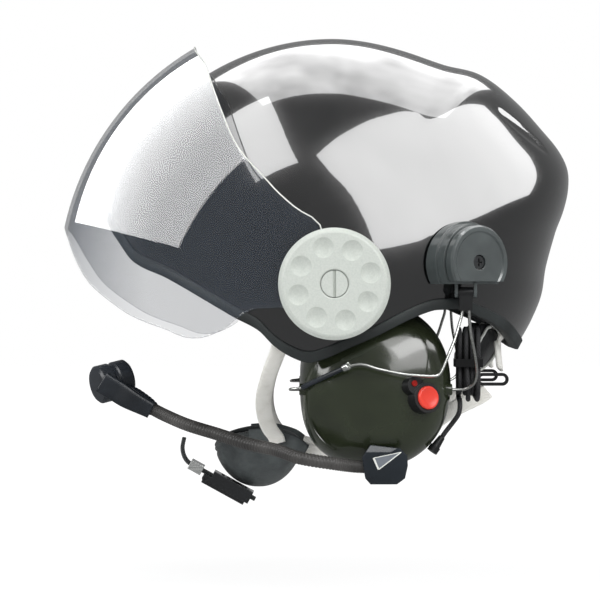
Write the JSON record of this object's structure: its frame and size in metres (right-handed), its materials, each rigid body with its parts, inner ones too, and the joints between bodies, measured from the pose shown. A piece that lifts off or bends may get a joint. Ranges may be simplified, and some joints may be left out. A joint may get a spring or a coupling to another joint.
{
  "type": "paramotor helmet",
  "caption": "Open-face flying helmet with a pivoting clear visor, spring-wire ear muffs, a boom microphone and a strapped chin cup.",
  "frame": {"origin": "point on the visor pivot axis at the helmet's middle plane, inside the head space", "axes": "the brow looks along -X, the crown along +Z, the wearer's left side is -Y"},
  "size_m": [0.3218, 0.276, 0.2959],
  "materials": {
    "shell": "polished",
    "trim": "satin",
    "liner": "matte",
    "padding": "matte",
    "chin_cup": "satin",
    "black_plastic": "satin",
    "mount": "satin",
    "steel": "brushed",
    "bright_metal": "polished",
    "spring_wire": "polished",
    "tab_web": "matte",
    "white_strap": "satin",
    "visor": "clear",
    "knob": "satin",
    "cup": "glossy",
    "cushion": "satin",
    "speaker": "matte",
    "foam": "matte",
    "red_button": "satin",
    "indicator": "glossy",
    "boom_plastic": "satin",
    "gooseneck": "satin",
    "mic": "satin",
    "cable": "braided",
    "tie": "matte"
  },
  "bodies": {
    "helmet": {"outer_shell": "shell", "edge_trim": "trim", "impact_liner": "liner", "crown_pad": "padding", "brow_pad": "padding", "neck_roll": "padding", "left_pivot_base": "black_plastic", "right_pivot_base": "black_plastic", "left_pivot_screw": "bright_metal", "right_pivot_screw": "bright_metal", "left_muff_mount": "mount", "right_muff_mount": "mount", "left_mount_cap": "mount", "right_mount_cap": "mount", "left_mount_screw": "steel", "right_mount_screw": "steel", "left_bail_pin": "steel", "right_bail_pin": "steel", "left_front_strap": "white_strap", "right_front_strap": "white_strap", "left_rear_strap": "white_strap", "right_rear_strap": "white_strap", "strap_rings": "black_plastic", "strap_rivets": "steel", "chin_cup": "chin_cup", "buckle_body": "black_plastic", "buckle_frame": "bright_metal", "strap_tab": "tab_web"},
    "visor": {"visor": "visor", "friction_washers": "black_plastic"},
    "left_knob": {"left_knob": "knob"},
    "right_knob": {"right_knob": "knob"},
    "left_bail": {"left_bail": "spring_wire", "left_bail_stem": "black_plastic"},
    "right_bail": {"right_bail": "spring_wire", "right_bail_stem": "black_plastic"},
    "left_cup": {"left_ear_cup": "cup", "left_backplate": "black_plastic", "left_ear_cushion": "cushion", "left_speaker": "speaker", "left_foam": "foam", "button_housing": "black_plastic", "indicator_lens": "indicator", "cable_gland": "black_plastic", "comm_lead": "cable", "comm_hank": "cable", "hank_tie": "tie", "comm_plug": "black_plastic"},
    "right_cup": {"right_ear_cup": "cup", "right_backplate": "black_plastic", "right_ear_cushion": "cushion", "right_speaker": "speaker", "right_foam": "foam"},
    "talk_button": {"talk_button": "red_button"},
    "boom": {"boom_block": "boom_plastic", "boom_gooseneck": "gooseneck", "mic_neck": "black_plastic", "mic_capsule": "mic"},
    "buckle_lever": {"buckle_lever": "bright_metal"}
  },
  "joints": [
    {"name": "visor_pivot", "type": "hinge", "parent": "helmet", "child": "visor", "pos_m": [0, 0, 0], "axis": [0, 1, 0], "range_deg": [0, 60]},
    {"name": "left_knob_turn", "type": "hinge", "parent": "helmet", "child": "left_knob", "pos_m": [0, -0.13, 0], "axis": [0, -1, 0], "range_deg": [0, 90]},
    {"name": "right_knob_turn", "type": "hinge", "parent": "helmet", "child": "right_knob", "pos_m": [0, 0.13, 0], "axis": [0, 1, 0], "range_deg": [0, 90]},
    {"name": "left_bail_swing", "type": "hinge", "parent": "helmet", "child": "left_bail", "pos_m": [0.0795, -0.109, -0.005], "axis": [1, 0, 0], "range_deg": [0, 5]},
    {"name": "right_bail_swing", "type": "hinge", "parent": "helmet", "child": "right_bail", "pos_m": [0.0795, 0.109, -0.005], "axis": [-1, 0, 0], "range_deg": [0, 5]},
    {"name": "left_cup_tilt", "type": "hinge", "parent": "left_bail", "child": "left_cup", "pos_m": [0.0255, -0.097, -0.064], "axis": [-1, 0, 0], "range_deg": [0, 8]},
    {"name": "right_cup_tilt", "type": "hinge", "parent": "right_bail", "child": "right_cup", "pos_m": [0.0255, 0.097, -0.064], "axis": [1, 0, 0], "range_deg": [0, 8]},
    {"name": "talk_button_press", "type": "slide", "parent": "left_cup", "child": "talk_button", "axis": [-0.5, 0.8541, -0.1429], "range_m": [0, 0.0015], "stiffness_N_per_m": 300},
    {"name": "boom_swing", "type": "hinge", "parent": "left_cup", "child": "boom", "pos_m": [0.033, -0.115, -0.108], "axis": [0, 1, 0], "range_deg": [-30, 8]},
    {"name": "buckle_lever_open", "type": "hinge", "parent": "helmet", "child": "buckle_lever", "pos_m": [-0.0797, -0.02, -0.12203], "axis": [0, 1, 0], "range_deg": [0, 75]}
  ]
}
